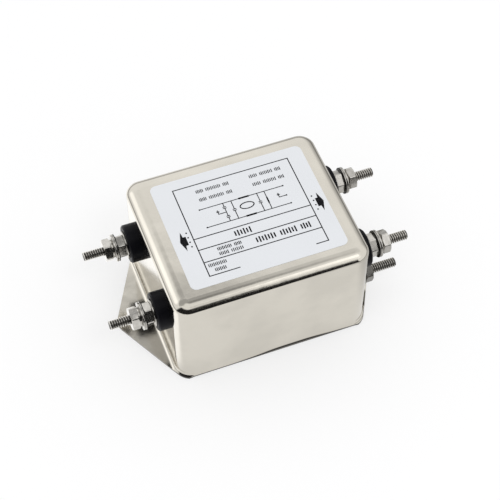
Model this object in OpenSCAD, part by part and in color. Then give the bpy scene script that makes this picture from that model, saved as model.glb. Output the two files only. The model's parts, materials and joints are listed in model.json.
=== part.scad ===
// EMI line filter: a deep-drawn steel case with two ears, an insulated pair of
// threaded terminals in each end wall, an earth stud at the line end, and the
// filter's board, choke and capacitors inside.
// Frame: +Z up, origin at the centre of the bottom, +X towards the line end.

/* [Case] */
// Length of the case over its two end walls
case_l = 80.5; // [76:0.5:96]
// Width of the case over its two long walls
case_w = 68; // [64:0.5:84]
// Height of the case
case_h = 47.5; // [45:0.5:60]
// Thickness of the drawn sheet
sheet_t = 0.8; // [0.6:0.1:1]
// Outside radius of the four upright corners
corner_r = 6.5; // [5:0.5:9]
// Width of the bend round the top, which starts gently and tightens outwards
top_bend_w = 5.6; // [3:0.2:6.2]
// Height of the bend round the top
top_bend_h = 3.1; // [2:0.1:4.4]
// Radius of the bend from the walls into the flange
foot_r = 2; // [1.2:0.2:2.6]

/* [Flange and ears] */
// Distance from an end wall to the mounting hole in its ear
ear_reach = 9.75; // [9:0.25:14]
// Radius of an ear's rounded tip
ear_tip_r = 5.9; // [5:0.1:7]
// Diameter of a mounting hole
ear_hole_d = 4.8; // [3.6:0.1:5.4]
// How far the flange runs past the walls round the corners
flange_w = 0.95; // [0.8:0.05:1.8]
// How far the trimmed edge stands past the long walls
lip_w = 0.3; // [0.1:0.05:0.6]

/* [Bottom cover] */
// Thickness of the bottom cover
cover_t = 0.8; // [0.6:0.1:1.2]
// Height of the cover's turned-up rim
cover_rim_h = 5; // [3:0.25:5.5]
// Outside radius of the cover's bottom edge
cover_edge_r = 1.6; // [1.4:0.1:2.2]
// Thickness of the insulating sheet on the cover
liner_t = 0.4; // [0.2:0.1:0.8]

/* [Label] */
// Length of the label
label_l = 64.4; // [50:0.1:66]
// Width of the label
label_w = 53; // [40:0.1:54]
// Thickness of the label
label_t = 0.12; // [0.08:0.01:0.3]
// Radius of the label's corners
label_r = 2.6; // [1:0.1:5]
// Shift of the label's centre along X
label_dx = 1.05; // [-1.5:0.05:1.5]
// Shift of the label's centre along Y
label_dy = 0.75; // [-1:0.05:1]

/* [Terminals] */
// Diameter of the threaded studs
stud_d = 4.1; // [3.5:0.05:4.5]
// Distance between the two studs in one end wall
stud_pitch = 34.8; // [32:0.1:38]
// Height of the terminal studs
stud_z = 28.8; // [27.5:0.1:30]
// How far a terminal stud stands out of its end wall
stud_out = 22.6; // [19:0.1:27]
// How far a stud runs past its inner nut
stud_in = 1.2; // [0.8:0.1:2]
// Diameter of the outer insulators
insulator_d = 15.8; // [14:0.1:17]
// Thickness of the outer insulators
insulator_t = 4.7; // [3.5:0.1:5.5]
// Bevel on the outer insulator's rim
insulator_bevel = 0.55; // [0.2:0.05:1]
// Diameter of the insulator's collar in the wall
collar_d = 8; // [7:0.1:9]
// Diameter of the inner insulators
inner_insulator_d = 13; // [11:0.1:14]
// Thickness of the inner insulators
inner_insulator_t = 2; // [1.2:0.1:2.6]

/* [Earth stud] */
// Height of the earth stud
earth_z = 11.4; // [11:0.1:12]
// How far the earth stud stands out of its wall
earth_out = 19.1; // [14:0.1:22]

/* [Nuts and washers] */
// Width of the nuts over their flats
nut_af = 8.6; // [7:0.1:9]
// Thickness of the nuts
nut_t = 3.1; // [2.4:0.1:3.4]
// Diameter of the flat washers
washer_d = 11.3; // [10:0.1:12]
// Thickness of the flat washers
washer_t = 0.8; // [0.5:0.1:1]
// Diameter of the split lock washers
lock_d = 7.6; // [6.8:0.1:8.4]
// Thickness of the split lock washers
lock_t = 0.9; // [0.6:0.1:1.2]
// Gap in a lock washer
lock_gap = 0.9; // [0.5:0.1:1.2]

/* [Board] */
// Height of the board's underside
board_z = 15; // [14.8:0.1:15.4]
// Thickness of the board
board_t = 1.6; // [1:0.1:2]
// Room between the board and the end walls
board_end_room = 11.5; // [10.5:0.25:12]
// Room between the board and the long walls
board_side_room = 6.5; // [3:0.25:7]
// Thickness of the copper straps
strap_t = 0.8; // [0.5:0.1:1]
// Width of the copper straps
strap_w = 6; // [5:0.25:7]
// Length of a strap's foot on the board
strap_foot = 4; // [2.5:0.25:4.5]

/* [Choke] */
// Outside diameter of the choke's core
core_d = 33; // [30:0.5:34]
// Bore of the choke's core
core_bore = 18; // [17:0.5:20]
// Height of the choke's core
core_h = 13; // [9:0.5:13.5]
// Diameter of the winding wire
wire_d = 1.7; // [1.2:0.1:1.8]
// Turns in each winding
turns = 9; // [5:1:9]
// Thickness of the choke's stand
stand_t = 1.5; // [1:0.1:2]

/* [Capacitors and resistor] */
// Thickness of an X capacitor
xcap_t = 6.5; // [4:0.25:7]
// Width of an X capacitor
xcap_w = 18; // [12:0.5:20]
// Height of an X capacitor
xcap_h = 12.5; // [9:0.5:15]
// Diameter of a Y capacitor's disc
ycap_d = 9; // [6:0.25:10]
// Thickness of a Y capacitor's disc
ycap_t = 3.5; // [2.5:0.25:4]
// Diameter of the resistor's body
resistor_d = 3.2; // [2.4:0.1:4]
// Length of the resistor's body
resistor_l = 9; // [6:0.25:10]
// Diameter of the component leads
lead_d = 0.8; // [0.5:0.1:1]

/* [Hidden] */
$fn = 64;

// Clearances
fit_gap = 0.1;       // between pieces that slide together
thread_gap = 0.03;   // between a stud and a nut's thread
seat_relief = 0.22;  // how much thinner a stud is inside its nuts: half its thread's depth
seat_run = 0.3;      // how far that thinner stretch shows past the last nut
hole_gap = 0.15;     // round a stud in a washer, insulator or strap
lead_gap = 0.15;     // round a lead in the board
wire_gap = 0.1;      // between the winding and the core
overcut = 1;         // how far a cutting solid runs past its face
bend_stop = 0.3;     // from the bend round the top to the corners' centres

// Small fixed sizes
nut_bevel_angle = 30;  // of the bevel on a nut's corners
stud_bevel = 0.4;      // on a stud's ends
corner_swell = 0.02;   // how much wider than the wire its rounded corners are
turn_spread = 1.1;     // distance between two turns in the bore, in wire diameters
core_edge_r = 1;       // rounding of the core's edges
partition_t = 1.6;     // thickness of the stand's partition
lead_below = 1.4;      // how far a lead runs below the board
pin_inset = 1.5;       // from a capacitor's edge to its lead
xcap_room = 2.6;       // between the winding and an X capacitor
xcap_edge_r = 0.8;     // rounding of an X capacitor's upright edges
small_part_inset = 3.5;  // from the board's edge to the small parts
small_part_x = 13;     // from the middle to the small parts
ycap_lift = 1;         // below a Y capacitor's disc
resistor_lift = 0.3;   // below the resistor's body
resistor_lead = 1.6;   // from the resistor's body to its bent lead
earth_strap_h = 5;     // height of the earth strap
earth_strap_room = 6;  // between the earth nut and the strap's bend

// Ends and sides of the four terminals: line end first
TERMINALS = [[1, 1], [1, -1], [-1, 1], [-1, -1]];
// The nuts stop at any angle when they are done up
CLAMP_NUT_TURNS = [2, 10, 21, -20];
TERMINAL_NUT_TURNS = [35, 1, 34, 20];
EARTH_NUT_TURN = 10;

stud_y = stud_pitch / 2;
end_x = case_l / 2;
ear_x = end_x + ear_reach;
stud_r = stud_d / 2;
seat_r = stud_r - seat_relief;
corner_x = case_l / 2 - corner_r;
corner_y = case_w / 2 - corner_r;
top_bend = [min(top_bend_w, corner_r - bend_stop), top_bend_h];
flange_r = corner_r + flange_w;
foot_z = sheet_t + foot_r;

// Stations along a terminal, outwards from the outside of the wall
clamp_washer_at = insulator_t;
clamp_nut_at = clamp_washer_at + washer_t;
lug_washer_at = clamp_nut_at + nut_t;
top_washer_at = lug_washer_at + washer_t;
lock_at = top_washer_at + washer_t;
terminal_nut_at = lock_at + lock_t;
terminal_end = terminal_nut_at + nut_t;

// Stations along a terminal, inwards from the outside of the wall
inner_washer_at = sheet_t + inner_insulator_t;
strap_at = inner_washer_at + washer_t;
inner_nut_at = strap_at + strap_t;
stud_inner_end = inner_nut_at + nut_t + stud_in;

// Stations along the earth stud
earth_washer_at = nut_t;
earth_lock_at = earth_washer_at + washer_t;
earth_nut_at = earth_lock_at + lock_t;
earth_end = earth_nut_at + nut_t;
earth_inner_nut_at = sheet_t + strap_t;
earth_inner_end = earth_inner_nut_at + nut_t + stud_in;

// Board and what stands on it
board_top = board_z + board_t;
board_l = case_l - 2 * board_end_room;
board_w = case_w - 2 * board_side_room;
wire_r = wire_d / 2;
stand_top = board_top + stand_t;
core_z = stand_top + wire_gap + wire_d + wire_gap;
turn_in_r = core_bore / 2 - wire_gap - wire_r;
turn_out_r = core_d / 2 + wire_gap + wire_r;
turn_low_z = core_z - wire_gap - wire_r;
turn_top_z = core_z + core_h + wire_gap + wire_r;
turn_step = 2 * asin((wire_d * turn_spread + wire_gap) / 2 / turn_in_r);
xcap_x = turn_out_r + wire_r + xcap_room + xcap_t / 2;
xcap_pin_y = xcap_w / 2 - pin_inset;
small_part_y = board_w / 2 - small_part_inset;
ycap_pin_x = ycap_d / 2 - pin_inset;
resistor_pin_x = resistor_l / 2 + resistor_lead;
resistor_z = board_top + resistor_d / 2 + resistor_lift;

// Colours
STEEL = [0.82, 0.81, 0.78];
PLATED = [0.72, 0.72, 0.70];
BLACK = [0.10, 0.10, 0.11];
COPPER = [0.78, 0.45, 0.25];

// ---- Helpers ----

// Turns +Z outwards at a point of an end wall's outside
module at_wall(end, y, z) {
    translate([end * end_x, y, z]) rotate([0, end * 90, 0]) children();
}

module at_terminal(i) {
    at_wall(TERMINALS[i][0], TERMINALS[i][1] * stud_y, stud_z) children();
}

module at_earth() {
    at_wall(1, -stud_y, earth_z) children();
}

// A rectangle with true arcs at its corners
module rounded_rect(l, w, r) {
    square([l, w - 2 * r], center = true);
    square([l - 2 * r, w], center = true);
    for (sx = [-1, 1], sy = [-1, 1]) {
        translate([sx * (l / 2 - r), sy * (w / 2 - r)]) circle(r = r);
    }
}

// A quarter of a bend in the first quadrant; size holds its outside half axes
module quarter_bend(size, t) {
    intersection() {
        difference() {
            scale(size) circle(r = 1);
            scale([size[0] - t, size[1] - t]) circle(r = 1);
        }
        square(size);
    }
}

// Sweeps a section round a rounded rectangle; the section's X starts at the
// corners' centres and its Y is the height
module sweep_round(l, w, r) {
    for (k = [0 : 3]) {
        along = k % 2 == 0 ? w - 2 * r : l - 2 * r;
        out = k % 2 == 0 ? l / 2 - r : w / 2 - r;
        rotate([0, 0, 90 * k]) translate([out, 0, 0]) rotate([90, 0, 0])
            linear_extrude(height = along, center = true) children();
        rotate([0, 0, 90 * k]) translate([out, along / 2, 0])
            rotate_extrude(angle = 90) children();
    }
}

// Section of a drawn pan that is closed at the top: strip, bend and wall
module pan_section(h, r, bend, t, wall_z) {
    translate([0, h - t]) square([r - bend[0], t]);
    translate([r - bend[0], h - bend[1]]) quarter_bend(bend, t);
    translate([r - t, wall_z]) square([t, h - bend[1] - wall_z]);
}

// A drawn pan, closed at the top and open at the bottom
module drawn_pan(l, w, h, r, bend, t, wall_z) {
    sweep_round(l, w, r) pan_section(h, r, bend, t, wall_z);
    translate([0, 0, h - t / 2]) cube([l - 2 * r, w - 2 * r, t], center = true);
}

// Outline that the flange is trimmed to: round the corners, tangent to the
// ears' tips, and straight along the long walls
module flange_outline() {
    centre_dx = ear_x - corner_x;
    centre_d = norm([centre_dx, corner_y]);
    n = atan2(-corner_y, centre_dx) + acos((flange_r - ear_tip_r) / centre_d);
    tip = [ear_x + ear_tip_r * cos(n), ear_tip_r * sin(n)];
    bend = [corner_x + flange_r * cos(n), corner_y + flange_r * sin(n)];
    intersection() {
        union() {
            square(2 * [corner_x, corner_y + flange_r], center = true);
            polygon([for (s = [[1, 1, 0], [-1, 1, 1], [-1, -1, 0], [1, -1, 1]])
                for (p = s[2] == 0 ? [tip, bend] : [bend, tip])
                    [s[0] * p[0], s[1] * p[1]]]);
            for (sx = [-1, 1]) {
                translate([sx * ear_x, 0]) circle(r = ear_tip_r);
                for (sy = [-1, 1]) {
                    translate([sx * corner_x, sy * corner_y]) circle(r = flange_r);
                }
            }
        }
        square([2 * (ear_x + ear_tip_r + overcut), case_w + 2 * lip_w], center = true);
    }
}

// Section of the bend at the foot of the walls
module foot_section() {
    translate([corner_r + foot_r, foot_z]) rotate(180) quarter_bend([foot_z, foot_z], sheet_t);
}

// A hexagon nut with bevelled corners, from z = 0 up
module hex_nut(turn) {
    corner = nut_af / 2 / cos(30);
    bevel = (corner - nut_af / 2) * tan(nut_bevel_angle);
    rotate([0, 0, turn]) difference() {
        intersection() {
            cylinder(r = corner, h = nut_t, $fn = 6);
            rotate_extrude() polygon([[0, 0], [nut_af / 2, 0], [corner, bevel],
                [corner, nut_t - bevel], [nut_af / 2, nut_t], [0, nut_t]]);
        }
        translate([0, 0, -overcut]) cylinder(r = seat_r + thread_gap, h = nut_t + 2 * overcut);
    }
}

module ring(d, hole, t) {
    difference() {
        cylinder(d = d, h = t);
        translate([0, 0, -overcut]) cylinder(d = hole, h = t + 2 * overcut);
    }
}

module flat_washer() {
    ring(washer_d, stud_d + 2 * hole_gap, washer_t);
}

module lock_washer(turn) {
    rotate([0, 0, turn]) difference() {
        ring(lock_d, stud_d + 2 * hole_gap, lock_t);
        translate([0, -lock_gap / 2, -overcut]) cube([lock_d, lock_gap, lock_t + 2 * overcut]);
    }
}

// A stud from inner_end inside to out outside: bevelled ends, a thinner stretch
// under the washers and nuts up to last_nut, and the full thread past it
module stud(inner_end, last_nut, out) {
    full_at = last_nut + seat_run;
    rotate_extrude() polygon([[0, -inner_end], [seat_r - stud_bevel, -inner_end],
        [seat_r, -inner_end + stud_bevel], [seat_r, full_at], [stud_r, full_at],
        [stud_r, out - stud_bevel], [stud_r - stud_bevel, out], [0, out]]);
}

// ---- Case ----

module case() {
    color(STEEL) difference() {
        union() {
            drawn_pan(case_l, case_w, case_h, corner_r, top_bend, sheet_t, foot_z);
            intersection() {
                sweep_round(case_l, case_w, corner_r) foot_section();
                linear_extrude(height = foot_z) flange_outline();
            }
            linear_extrude(height = sheet_t) difference() {
                flange_outline();
                rounded_rect(case_l + 2 * foot_r, case_w + 2 * foot_r, corner_r + foot_r);
            }
        }
        for (i = [0 : 3]) {
            at_terminal(i) translate([0, 0, -sheet_t - overcut])
                cylinder(d = collar_d + 2 * fit_gap, h = sheet_t + 2 * overcut);
        }
        at_earth() translate([0, 0, -sheet_t - overcut])
            cylinder(d = stud_d + 2 * hole_gap, h = sheet_t + 2 * overcut);
        for (sx = [-1, 1]) {
            translate([sx * ear_x, 0, -overcut]) cylinder(d = ear_hole_d, h = sheet_t + 2 * overcut);
        }
    }
}

module bottom_cover() {
    inset = sheet_t + fit_gap;
    color(STEEL) translate([0, 0, cover_rim_h]) mirror([0, 0, 1])
        drawn_pan(case_l - 2 * inset, case_w - 2 * inset, cover_rim_h,
            corner_r - inset, [cover_edge_r, cover_edge_r], cover_t, 0);
}

module insulating_sheet() {
    inset = sheet_t + cover_t + cover_edge_r;
    color("ivory") translate([0, 0, cover_t]) linear_extrude(height = liner_t)
        rounded_rect(case_l - 2 * inset, case_w - 2 * inset, corner_r - sheet_t - cover_t);
}

module label() {
    color([0.92, 0.93, 0.96]) translate([label_dx, label_dy, case_h])
        linear_extrude(height = label_t) rounded_rect(label_l, label_w, label_r);
}

// ---- Terminals ----

module line_stud_1() {
    color(PLATED) at_terminal(0) stud(stud_inner_end, terminal_end, stud_out);
}

module line_stud_2() {
    color(PLATED) at_terminal(1) stud(stud_inner_end, terminal_end, stud_out);
}

module load_stud_1() {
    color(PLATED) at_terminal(2) stud(stud_inner_end, terminal_end, stud_out);
}

module load_stud_2() {
    color(PLATED) at_terminal(3) stud(stud_inner_end, terminal_end, stud_out);
}

module earth_stud() {
    color(PLATED) at_earth() stud(earth_inner_end, earth_end, earth_out);
}

module outer_insulators() {
    bore_r = stud_r + hole_gap;
    for (i = [0 : 3]) {
        color(BLACK) at_terminal(i) rotate_extrude() polygon([[bore_r, -sheet_t],
            [collar_d / 2, -sheet_t], [collar_d / 2, 0], [insulator_d / 2, 0],
            [insulator_d / 2, insulator_t - insulator_bevel],
            [insulator_d / 2 - insulator_bevel, insulator_t], [bore_r, insulator_t]]);
    }
}

module inner_insulators() {
    for (i = [0 : 3]) {
        color(BLACK) at_terminal(i) translate([0, 0, -inner_washer_at])
            ring(inner_insulator_d, stud_d + 2 * hole_gap, inner_insulator_t);
    }
}

module terminal_washers() {
    color(PLATED) {
        for (i = [0 : 3], at = [clamp_washer_at, lug_washer_at, top_washer_at]) {
            at_terminal(i) translate([0, 0, at]) flat_washer();
        }
        at_earth() translate([0, 0, earth_washer_at]) flat_washer();
    }
}

module lock_washers() {
    color(PLATED) {
        for (i = [0 : 3]) {
            at_terminal(i) translate([0, 0, lock_at]) lock_washer(TERMINAL_NUT_TURNS[i]);
        }
        at_earth() translate([0, 0, earth_lock_at]) lock_washer(0);
    }
}

module clamp_nuts() {
    color(PLATED) {
        for (i = [0 : 3]) {
            at_terminal(i) translate([0, 0, clamp_nut_at]) hex_nut(CLAMP_NUT_TURNS[i]);
        }
        at_earth() hex_nut(0);
    }
}

module terminal_nuts() {
    color(PLATED) {
        for (i = [0 : 3]) {
            at_terminal(i) translate([0, 0, terminal_nut_at]) hex_nut(TERMINAL_NUT_TURNS[i]);
        }
        at_earth() translate([0, 0, earth_nut_at]) hex_nut(EARTH_NUT_TURN);
    }
}

module inner_washers() {
    for (i = [0 : 3]) {
        color(PLATED) at_terminal(i) translate([0, 0, -inner_washer_at - washer_t]) flat_washer();
    }
}

module inner_nuts() {
    color(PLATED) {
        for (i = [0 : 3]) {
            at_terminal(i) translate([0, 0, -inner_nut_at - nut_t]) hex_nut(0);
        }
        at_earth() translate([0, 0, -earth_inner_nut_at - nut_t]) hex_nut(30);
    }
}

// ---- Inside ----

// Copper straps from the studs' inner ends down to the board
module terminal_straps() {
    face_x = end_x - strap_at;
    foot_end = board_l / 2 - strap_foot;
    for (i = [0 : 3]) {
        end = TERMINALS[i][0];
        y = TERMINALS[i][1] * stud_y;
        color(COPPER) difference() {
            union() {
                at_terminal(i) translate([0, 0, -strap_at - strap_t]) cylinder(d = washer_d, h = strap_t);
                translate([end * (face_x - strap_t / 2), y, (board_top + stud_z) / 2])
                    cube([strap_t, strap_w, stud_z - board_top], center = true);
                translate([end * (face_x - strap_t + foot_end) / 2, y, board_top + strap_t / 2])
                    cube([face_x - strap_t - foot_end, strap_w, strap_t], center = true);
            }
            at_terminal(i) translate([0, 0, -strap_at - strap_t - overcut])
                cylinder(d = stud_d + 2 * hole_gap, h = strap_t + 2 * overcut);
        }
    }
}

// Copper strap from the earth stud to the underside of the board
module earth_strap() {
    face_x = end_x - sheet_t;
    tongue_y = -stud_y + nut_af / 2 / cos(30) + earth_strap_room;
    color(COPPER) difference() {
        union() {
            at_earth() translate([0, 0, -sheet_t - strap_t]) cylinder(d = nut_af, h = strap_t);
            translate([face_x - strap_t, -stud_y, board_z - earth_strap_h])
                cube([strap_t, tongue_y + stud_y, earth_strap_h]);
            translate([board_l / 2 - strap_foot, tongue_y - strap_t, board_z - earth_strap_h])
                cube([face_x - board_l / 2 + strap_foot, strap_t, earth_strap_h]);
        }
        at_earth() translate([0, 0, -sheet_t - strap_t - overcut])
            cylinder(d = stud_d + 2 * hole_gap, h = strap_t + 2 * overcut);
    }
}

// Places its children where the leads of the windings go through the board
module at_winding_leads(side) {
    for (s = [-1, 1]) {
        rotate([0, 0, side * 90 + s * turn_step * turns / 2]) translate([turn_out_r, 0, 0]) children();
    }
}

module at_xcap_pins(end) {
    for (s = [-1, 1]) {
        translate([end * xcap_x, s * xcap_pin_y, 0]) children();
    }
}

module at_ycap_pins(side) {
    for (s = [-1, 1]) {
        translate([-small_part_x + s * ycap_pin_x, side * small_part_y, 0]) children();
    }
}

module at_resistor_pins() {
    for (s = [-1, 1]) {
        translate([small_part_x + s * resistor_pin_x, small_part_y, 0]) children();
    }
}

module board() {
    color([0.20, 0.42, 0.25]) difference() {
        translate([0, 0, board_z + board_t / 2]) cube([board_l, board_w, board_t], center = true);
        translate([0, 0, board_z - overcut]) {
            for (s = [-1, 1]) {
                at_winding_leads(s) cylinder(r = wire_r + lead_gap, h = board_t + 2 * overcut);
                at_xcap_pins(s) cylinder(d = lead_d + 2 * lead_gap, h = board_t + 2 * overcut);
                at_ycap_pins(s) cylinder(d = lead_d + 2 * lead_gap, h = board_t + 2 * overcut);
            }
            at_resistor_pins() cylinder(d = lead_d + 2 * lead_gap, h = board_t + 2 * overcut);
        }
    }
}

// Moulded stand with the partition that keeps the two windings apart
module choke_stand() {
    color("ivory") translate([0, 0, board_top]) {
        cylinder(r = turn_out_r - wire_r - hole_gap, h = stand_t);
        translate([-core_bore / 2 + fit_gap, -partition_t / 2, 0])
            cube([core_bore - 2 * fit_gap, partition_t, core_z + core_h - board_top]);
    }
}

// Ring core in its coating, with rounded edges
module choke_core() {
    wall = (core_d - core_bore) / 2;
    color([0.16, 0.30, 0.20]) translate([0, 0, core_z + core_h / 2]) rotate_extrude()
        translate([core_bore / 2 + wall / 2, 0]) rounded_rect(wall, core_h, core_edge_r);
}

// Point of a winding, from its angle, its distance from the axis and its height
function wire_point(angle, r, z) = [r * cos(angle), r * sin(angle), z];

// Straight wire from one corner of a turn to the next, rounded where it ends
module wire(from, to) {
    run = to - from;
    translate(from) rotate([0, acos(run[2] / norm(run)), atan2(run[1], run[0])])
        cylinder(r = wire_r, h = norm(run));
    translate(to) sphere(r = wire_r + corner_swell);
}

// One wire wound round the core: in under the core, up through the bore, out
// over the top and down outside to the next turn
module winding(side) {
    angles = [for (k = [0 : turns]) side * 90 + turn_step * (k - turns / 2)];
    lead_z = board_z - lead_below;
    color(COPPER) {
        wire(wire_point(angles[0], turn_out_r, lead_z), wire_point(angles[0], turn_out_r, turn_low_z));
        for (k = [1 : turns]) {
            inner_low = wire_point(angles[k], turn_in_r, turn_low_z);
            inner_top = wire_point(angles[k], turn_in_r, turn_top_z);
            outer_top = wire_point(angles[k], turn_out_r, turn_top_z);
            outer_low = wire_point(angles[k], turn_out_r, k == turns ? lead_z + wire_r : turn_low_z);
            wire(wire_point(angles[k - 1], turn_out_r, turn_low_z), inner_low);
            wire(inner_low, inner_top);
            wire(inner_top, outer_top);
            wire(outer_top, outer_low);
        }
    }
}

module winding_1() {
    winding(1);
}

module winding_2() {
    winding(-1);
}

module x_capacitor(end) {
    color([0.85, 0.75, 0.25]) {
        translate([end * xcap_x, 0, board_top]) linear_extrude(height = xcap_h)
            rounded_rect(xcap_t, xcap_w, xcap_edge_r);
        at_xcap_pins(end) translate([0, 0, board_z - lead_below])
            cylinder(d = lead_d, h = board_t + lead_below);
    }
}

module line_x_capacitor() {
    x_capacitor(1);
}

module load_x_capacitor() {
    x_capacitor(-1);
}

module y_capacitors() {
    disc_z = board_top + ycap_lift + ycap_d / 2;
    for (side = [-1, 1]) {
        color([0.20, 0.35, 0.70]) {
            translate([-small_part_x, side * small_part_y, disc_z]) rotate([90, 0, 0])
                cylinder(d = ycap_d, h = ycap_t, center = true);
            at_ycap_pins(side) translate([0, 0, board_z - lead_below])
                cylinder(d = lead_d, h = disc_z - board_z + lead_below);
        }
    }
}

module bleed_resistor() {
    color([0.80, 0.70, 0.55]) {
        translate([small_part_x, small_part_y, resistor_z]) rotate([0, 90, 0])
            cylinder(d = resistor_d, h = resistor_l, center = true);
        translate([small_part_x, small_part_y, resistor_z]) rotate([0, 90, 0])
            cylinder(d = lead_d, h = 2 * resistor_pin_x, center = true);
        at_resistor_pins() translate([0, 0, board_z - lead_below])
            cylinder(d = lead_d, h = resistor_z - board_z + lead_below + lead_d / 2);
    }
}

case();
bottom_cover();
insulating_sheet();
label();
line_stud_1();
line_stud_2();
load_stud_1();
load_stud_2();
earth_stud();
outer_insulators();
inner_insulators();
terminal_washers();
lock_washers();
clamp_nuts();
terminal_nuts();
inner_washers();
inner_nuts();
terminal_straps();
earth_strap();
board();
choke_stand();
choke_core();
winding_1();
winding_2();
line_x_capacitor();
load_x_capacitor();
y_capacitors();
bleed_resistor();
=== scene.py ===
"""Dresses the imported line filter: a finish for every part, rolled threads on its
studs, rounded nuts and washers, the printed label, and a plain stage to show it on."""

import json
import math

import bmesh
import bpy
from bpy.props import FloatProperty, FloatVectorProperty, IntProperty, PointerProperty
from mathutils import Matrix, Quaternion, Vector

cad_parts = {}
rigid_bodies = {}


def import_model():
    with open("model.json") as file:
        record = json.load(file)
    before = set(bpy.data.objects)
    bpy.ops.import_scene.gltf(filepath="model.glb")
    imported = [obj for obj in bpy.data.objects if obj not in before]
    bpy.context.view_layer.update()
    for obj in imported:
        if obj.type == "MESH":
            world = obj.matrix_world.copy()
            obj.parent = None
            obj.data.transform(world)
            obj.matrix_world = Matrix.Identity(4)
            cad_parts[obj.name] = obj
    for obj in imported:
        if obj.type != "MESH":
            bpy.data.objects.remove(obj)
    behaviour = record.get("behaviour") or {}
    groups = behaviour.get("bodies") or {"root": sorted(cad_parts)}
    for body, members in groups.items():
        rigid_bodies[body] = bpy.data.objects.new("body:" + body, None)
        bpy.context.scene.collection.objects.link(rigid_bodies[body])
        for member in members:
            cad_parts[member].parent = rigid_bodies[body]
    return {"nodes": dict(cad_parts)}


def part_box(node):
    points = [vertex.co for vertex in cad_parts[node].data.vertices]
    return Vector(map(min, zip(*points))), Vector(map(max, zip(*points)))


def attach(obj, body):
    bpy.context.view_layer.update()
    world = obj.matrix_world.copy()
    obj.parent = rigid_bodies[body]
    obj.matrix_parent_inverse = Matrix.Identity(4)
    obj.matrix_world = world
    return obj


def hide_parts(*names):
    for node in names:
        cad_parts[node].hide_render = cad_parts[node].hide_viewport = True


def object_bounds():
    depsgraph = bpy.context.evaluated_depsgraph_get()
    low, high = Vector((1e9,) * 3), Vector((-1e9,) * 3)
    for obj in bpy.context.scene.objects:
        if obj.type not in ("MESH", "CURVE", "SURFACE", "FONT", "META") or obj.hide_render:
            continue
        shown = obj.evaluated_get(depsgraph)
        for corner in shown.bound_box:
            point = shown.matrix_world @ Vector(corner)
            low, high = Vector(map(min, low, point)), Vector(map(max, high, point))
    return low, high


bl_info = {
    "name": "Line Filter Finishes",
    "version": (1, 0, 0),
    "blender": (4, 5, 0),
    "location": "View3D > Sidebar > Line Filter",
    "description": "Finishes, threads, label print and stage for a mains line filter",
    "category": "Object",
}

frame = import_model()
CAD_BOX = [list(corner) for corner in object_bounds()]

MM = 0.001
TERMINAL_STUDS = ("line_stud_1", "line_stud_2", "load_stud_1", "load_stud_2")
SHEET = 0.0008  # thickness of the case's wall


# ---- Shader maths ----


class Value:
    """A socket of a finish's node tree that can be reckoned with like a number."""

    def __init__(self, finish, socket):
        self.finish = finish
        self.socket = socket

    def reckon(self, operation, *others):
        """Adds a Math node."""
        return self.finish.add("ShaderNodeMath", {"operation": operation}, [self, *others])

    def __add__(self, other):
        return self.reckon("ADD", other)

    __radd__ = __add__

    def __sub__(self, other):
        return self.reckon("SUBTRACT", other)

    def __rsub__(self, other):
        return self.finish.add("ShaderNodeMath", {"operation": "SUBTRACT"}, [other, self])

    def __mul__(self, other):
        return self.reckon("MULTIPLY", other)

    __rmul__ = __mul__

    def __truediv__(self, other):
        return self.reckon("DIVIDE", other)

    def __pow__(self, other):
        return self.reckon("POWER", other)

    def __abs__(self):
        return self.reckon("ABSOLUTE")

    def above(self, limit):
        return self.reckon("GREATER_THAN", limit)

    def below(self, limit):
        return self.reckon("LESS_THAN", limit)

    def degrees(self):
        """The angle in degrees whose sine this is."""
        return self.reckon("ARCSINE") * (180.0 / math.pi)

    def heading(self, other):
        """The angle in degrees whose tangent is this over another number."""
        return self.reckon("ARCTAN2", other) * (180.0 / math.pi)

    def between(self, low, high, soft):
        """1 between two limits and 0 outside them, with soft ends."""
        return self.ramp(low - soft, low + soft) * (1.0 - self.ramp(high - soft, high + soft))

    def largest(self, other):
        return self.reckon("MAXIMUM", other)

    def ramp(self, low, high):
        """0 at low and 1 at high, smooth between them."""
        settings = {"interpolation_type": "SMOOTHSTEP"}
        return self.finish.add("ShaderNodeMapRange", settings, [self, low, high, 0.0, 1.0])


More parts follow.
